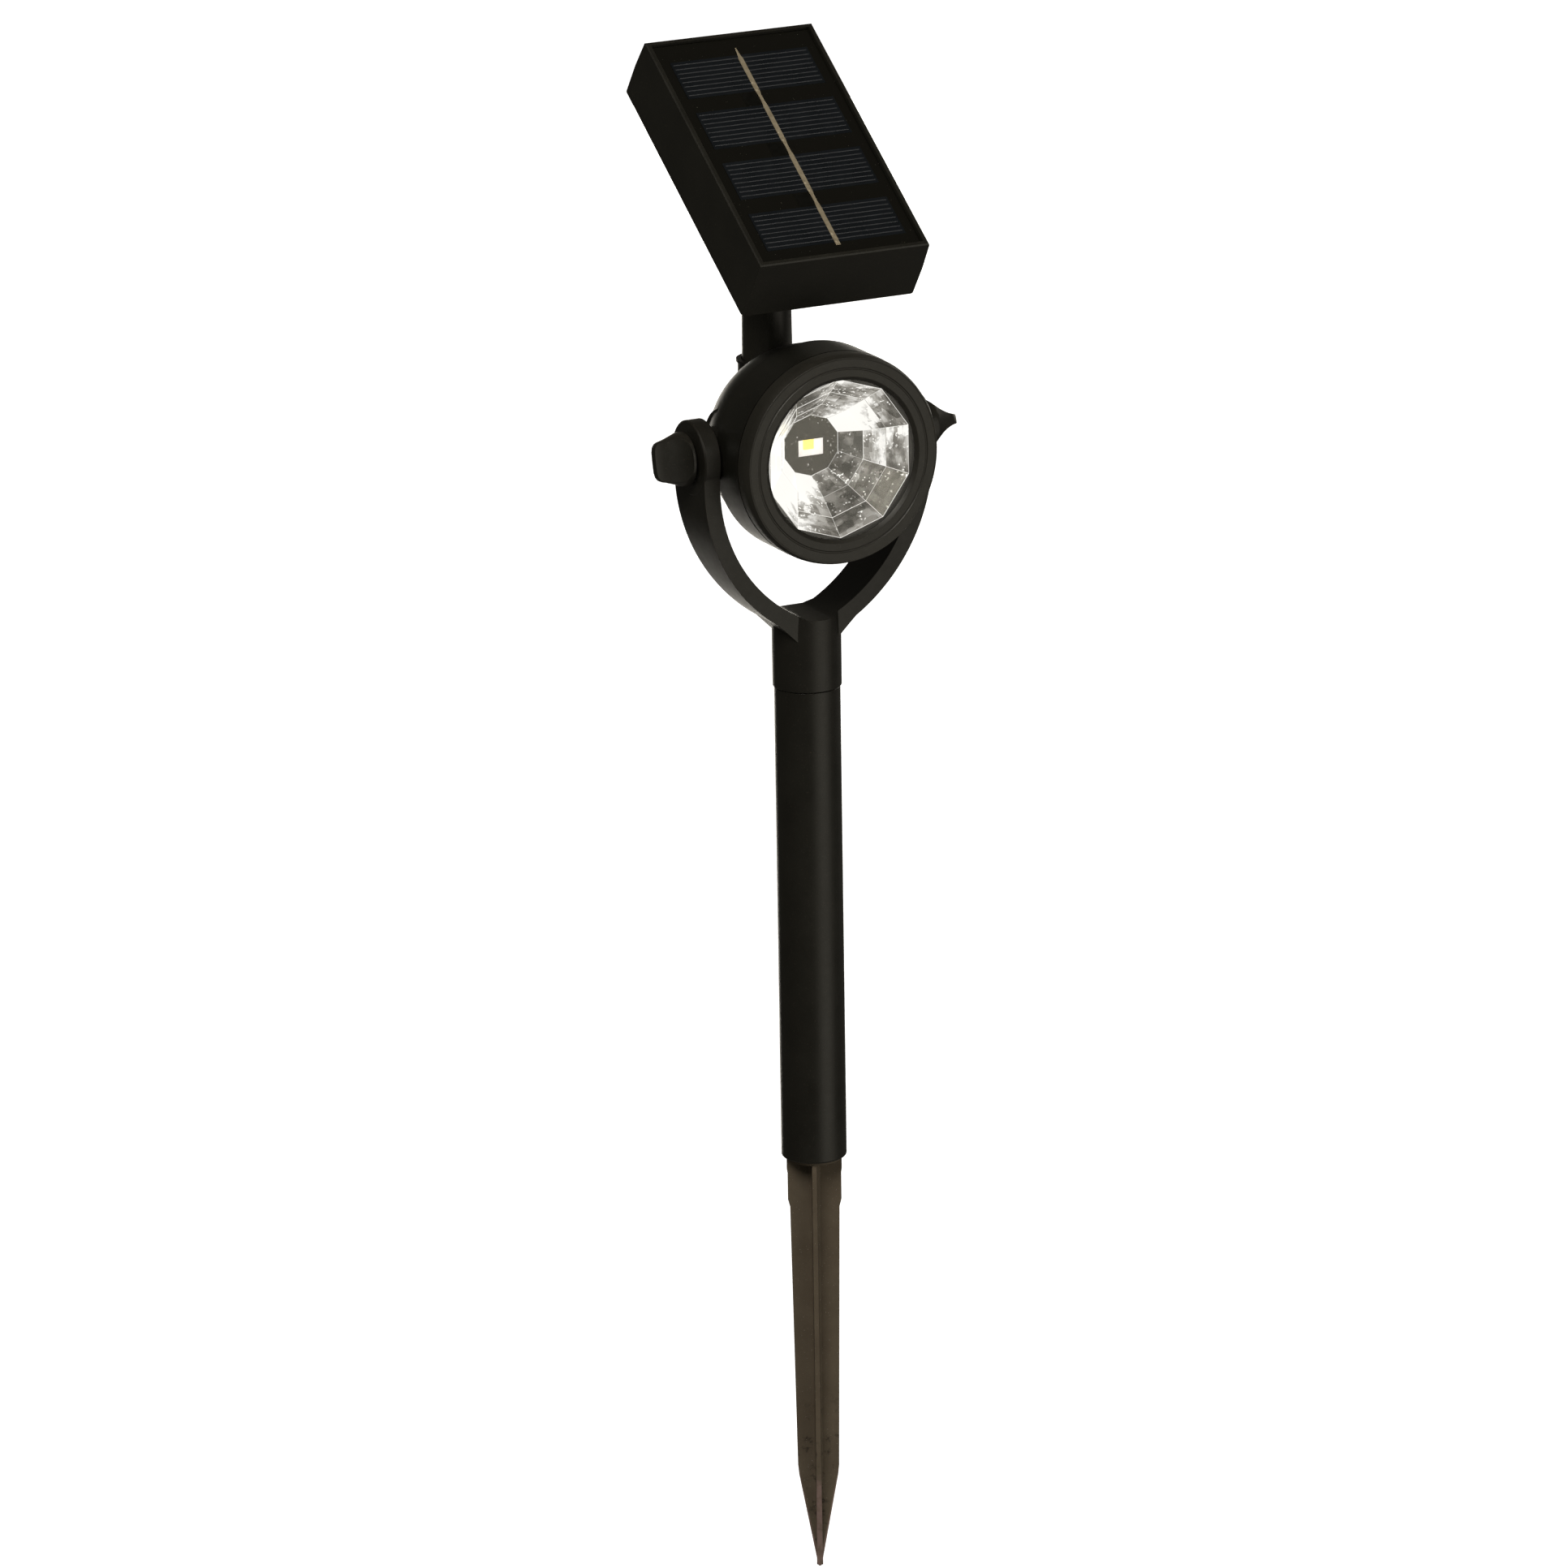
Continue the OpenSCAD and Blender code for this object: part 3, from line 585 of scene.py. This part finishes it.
def light_reflector():
    """The mirror's floor and its facets, each cut into small squares so that its painted reflection can vary.
    """
    bm = bmesh.new()
    looks = []
    for ring, ((a0, r0), (a1, r1)) in enumerate(zip(RINGS, RINGS[1:])):
        for k in range(SIDES):
            turns = (k * STEP - HALF_STEP, k * STEP + HALF_STEP)
            ends = [head_point(r, turn, a) for a, r in ((a0, r0), (a1, r1)) for turn in turns]
            shift = Vector((k * 7.3 + ring * 31.7, 0, 0))
            grid = []
            for j in range(PARTS + 1):
                for i in range(PARTS + 1):
                    u, v = i / PARTS, j / PARTS
                    shares = [(1 - u) * (1 - v), u * (1 - v), (1 - u) * v, u * v]
                    grid.append(bm.verts.new(sum((p * w for p, w in zip(ends, shares)), Vector())))
                    level = sum(g * w for g, w in zip(GLOW[ring][k], shares))
                    looks.append((level, shift + Vector((u, v, 0))))
            for j in range(PARTS):
                for i in range(PARTS):
                    at = j * (PARTS + 1) + i
                    bm.faces.new((grid[at], grid[at + 1], grid[at + PARTS + 2], grid[at + PARTS + 1]))
    a0, r0 = RINGS[0]
    outline = [head_point(r0, k * STEP + HALF_STEP, a0) for k in range(SIDES)]
    x0, x1, z0, z1 = WINDOW
    inner = [Vector((x * MM, outline[0].y, PIVOT.z + z * MM))
             for x, z in ((x0, z0), (x1, z0), (x1, z1), (x0, z1))]
    verts = [bm.verts.new(p) for p in outline]
    holes = [bm.verts.new(p) for p in inner]
    for side, reach in enumerate(WINDOW_REACH):
        bm.faces.new([holes[(side + 1) % 4], holes[side]] + [verts[i] for i in reach])
    looks += [(FLOOR_GLOW, (0.5, 0.5, 5.0))] * (SIDES + 4)
    mesh = looked(bm, "light_reflector", looks)
    add_piece("light_reflector", mesh, "head", "reflector_mirror", ["reflector"])


def facet_edges():
    """The fine ridges where facets meet, bright with a painted highlight."""
    bm = bmesh.new()
    looks = []

    def rod(p, q, toward):
        side = (q - p).normalized().cross(toward).normalized() * EDGE_HALF
        lift = toward * EDGE_LIFT
        v = [bm.verts.new(c) for c in (p - side, p + side, q + side, q - side, p + lift, q + lift)]
        looks.extend([(EDGE_GLOW, (len(looks) * 1.3, 0.0, 9.0))] * len(v))
        bm.faces.new((v[0], v[3], v[5], v[4]))
        bm.faces.new((v[1], v[4], v[5], v[2]))
        bm.faces.new((v[0], v[4], v[1]))
        bm.faces.new((v[3], v[2], v[5]))

    for k in range(SIDES):
        turn = k * STEP + HALF_STEP
        following = turn + STEP
        middle = turn + HALF_STEP
        spine = Vector((-math.cos(turn), -1, -math.sin(turn))).normalized()
        inward = Vector((-math.cos(middle), -1, -math.sin(middle))).normalized()
        for (a0, r0), (a1, r1) in zip(RINGS, RINGS[1:]):
            rod(head_point(r0, turn, a0), head_point(r1, turn, a1), spine)
        for a, r in RINGS:
            rod(head_point(r, turn, a), head_point(r, following, a), inward)
    add_piece("facet_edges", looked(bm, "facet_edges", looks), "head", "reflector_mirror")


cell_fingers()
solder_ribbon()
link_pads()
light_reflector()
facet_edges()
SLOTS = {part["node"]: part["material_slot"] for part in frame["record"]["subparts"]}
# how much of each node's hard edges is eased, mm
EASED = {
    "panel_shell": 0.42, "yoke_fork": 0.35, "bezel_ring": 0.25, "pole_tube": 0.3,
    "left_knob": 0.3, "right_knob": 0.3, "neck_tube": 0.25, "ground_spike": 0.15,
    "head_housing": 0.25, "panel_cover": 0.3, "switch_slider": 0.15,
}
for node_name, width in EASED.items():
    rounded(node_name, width, SLOTS[node_name])

# ---------------------------------------------------------------- stage, lights, camera

FLOOR_Z = TIP_Z - 0.0005
AROUND = 64  # corners round each ring of the floor
WARM = (1.0, 0.95, 0.85)
SKY_BASE = 0.045
# azimuth, elevation, inner angle and outer angle in degrees, and level
SKY_LOBES = [(153, 0, 12, 36, 0.09), (24, -14, 6, 34, 0.85), (20, -90, 20, 62, 0.08)]
# the photograph's camera, solved from the picture: degrees, metres and millimetres of lens
PHOTO_AZIMUTH, PHOTO_ELEVATION, PHOTO_ROLL = -26.768, 16.912, -0.895
PHOTO_DISTANCE = 2.90086
PHOTO_LENS = 194.3
PHOTO_TARGET = Vector((-0.009466, 0.0, 0.135883))


def studio_floor():
    """A pale floor that curves up into a pale wall all round. Only the camera sees it."""
    mesh = bpy.data.meshes.new("studio_floor")
    bm = bmesh.new()
    reach, bend, high, steps = 5.0, 2.0, 5.0, 12
    outline = [(0.0, 0.0), (reach * 0.5, 0.0), (reach, 0.0)]
    for i in range(1, steps + 1):
        a = math.pi / 2 * i / steps
        outline.append((reach + bend * math.sin(a), bend - bend * math.cos(a)))
    outline.append((reach + bend, high))
    rings = []
    for radius, height in outline:
        ring = []
        for k in range(AROUND):
            turn = 2 * math.pi * k / AROUND
            ring.append(bm.verts.new((radius * math.cos(turn), radius * math.sin(turn), height)))
            if radius == 0:
                break
        rings.append(ring)
    for k in range(AROUND):
        n = (k + 1) % AROUND
        bm.faces.new((rings[0][0], rings[1][k], rings[1][n]))
        for a, b in zip(rings[1:-1], rings[2:]):
            bm.faces.new((a[k], b[k], b[n], a[n]))
    bm.to_mesh(mesh)
    bm.free()
    mesh.shade_smooth()
    floor = bpy.data.objects.new("studio_floor", mesh)
    floor.location.z = FLOOR_Z
    bpy.context.scene.collection.objects.link(floor)
    g = Graph("studio_floor")
    grain = g.noise(3.0, 3.0)
    tint = g.mix(grain, colour(0.90, 0.90, 0.90), colour(0.93, 0.93, 0.925))
    floor.data.materials.append(g.finish(
        Base_Color=tint, Roughness=0.9, Emission_Color=colour(1, 1, 1), Emission_Strength=1.02))
    floor.visible_glossy = False
    floor.visible_diffuse = False
    floor.visible_transmission = False
    floor.visible_shadow = False


def around(azimuth, elevation, distance, centre):
    """A point at a distance from centre. Azimuth 0 is in front of the lamp and 90 at its +X side, degrees."""
    a, e = math.radians(azimuth), math.radians(elevation)
    return centre + distance * Vector((math.sin(a) * math.cos(e), -math.cos(a) * math.cos(e), math.sin(e)))


def soft_light(name, azimuth, elevation, distance, size, watts, tint=WARM):
    data = bpy.data.lights.new(name, "AREA")
    data.shape = "RECTANGLE"
    data.size, data.size_y = size
    data.energy = watts
    data.color = tint
    lamp = bpy.data.objects.new(name, data)
    centre = (CAD_BOX[0] + CAD_BOX[1]) / 2
    lamp.location = around(azimuth, elevation, distance, centre)
    lamp.rotation_mode = "QUATERNION"
    lamp.rotation_quaternion = (lamp.location - centre).to_track_quat("Z", "Y")
    lamp.visible_camera = False
    bpy.context.scene.collection.objects.link(lamp)


def sky_lobe(tree, azimuth, elevation, inner, outer, level):
    """A soft patch of light in the surroundings, full inside the inner angle and gone past the outer one."""
    nodes = tree.nodes
    where = nodes.new("ShaderNodeTexCoord")
    dot = nodes.new("ShaderNodeVectorMath")
    dot.operation = "DOT_PRODUCT"
    tree.links.new(where.outputs["Generated"], dot.inputs[0])
    dot.inputs[1].default_value = around(azimuth, elevation, 1.0, Vector((0, 0, 0)))
    lobe = nodes.new("ShaderNodeMapRange")
    lobe.interpolation_type = "SMOOTHSTEP"
    tree.links.new(dot.outputs["Value"], lobe.inputs["Value"])
    lobe.inputs["From Min"].default_value = math.cos(math.radians(outer))
    lobe.inputs["From Max"].default_value = math.cos(math.radians(inner))
    lobe.inputs["To Max"].default_value = level
    return lobe.outputs["Result"]


def studio_lights():
    soft_light("key_light", 22, 24, 2.3, (1.1, 1.0), 3.5, (1.0, 0.95, 0.84))
    soft_light("fill_light", -44, 46, 2.4, (1.0, 1.0), 27)
    soft_light("side_light", 108, 12, 2.4, (1.2, 1.1), 12)
    soft_light("back_light", 160, -12, 2.4, (1.5, 1.2), 21)
    world = bpy.data.worlds.new("studio_world")
    world.use_nodes = True
    tree = world.node_tree
    backdrop = tree.nodes["Background"]
    backdrop.inputs["Color"].default_value = (1.0, 0.94, 0.80, 1)
    level = None
    for lobe in SKY_LOBES:
        part = sky_lobe(tree, *lobe)
        total = tree.nodes.new("ShaderNodeMath")
        total.operation = "ADD"
        tree.links.new(part, total.inputs[0])
        total.inputs[1].default_value = SKY_BASE
        if level is not None:
            tree.links.new(level, total.inputs[1])
        level = total.outputs[0]
    tree.links.new(level, backdrop.inputs["Strength"])
    bpy.context.scene.world = world


def studio_camera():
    """The photograph's viewing angle: a long lens from the lamp's front left, a little above."""
    azimuth, roll = math.radians(PHOTO_AZIMUTH), math.radians(PHOTO_ROLL)
    elevation = math.radians(PHOTO_ELEVATION)
    back = Vector((math.sin(azimuth) * math.cos(elevation),
                   -math.cos(azimuth) * math.cos(elevation), math.sin(elevation)))
    flat = Vector((math.cos(azimuth), math.sin(azimuth), 0))
    upright = back.cross(flat)
    right = flat * math.cos(roll) + upright * math.sin(roll)
    up = upright * math.cos(roll) - flat * math.sin(roll)
    data = bpy.data.cameras.new("camera")
    data.lens = PHOTO_LENS
    data.sensor_width = 36.0
    camera = bpy.data.objects.new("camera", data)
    facing = Matrix((right, up, back)).transposed().to_4x4()
    camera.matrix_world = Matrix.Translation(PHOTO_TARGET + PHOTO_DISTANCE * back) @ facing
    bpy.context.scene.collection.objects.link(camera)
    bpy.context.scene.camera = camera


studio_floor()
studio_lights()
studio_camera()
bpy.context.scene.view_settings.view_transform = "Standard"
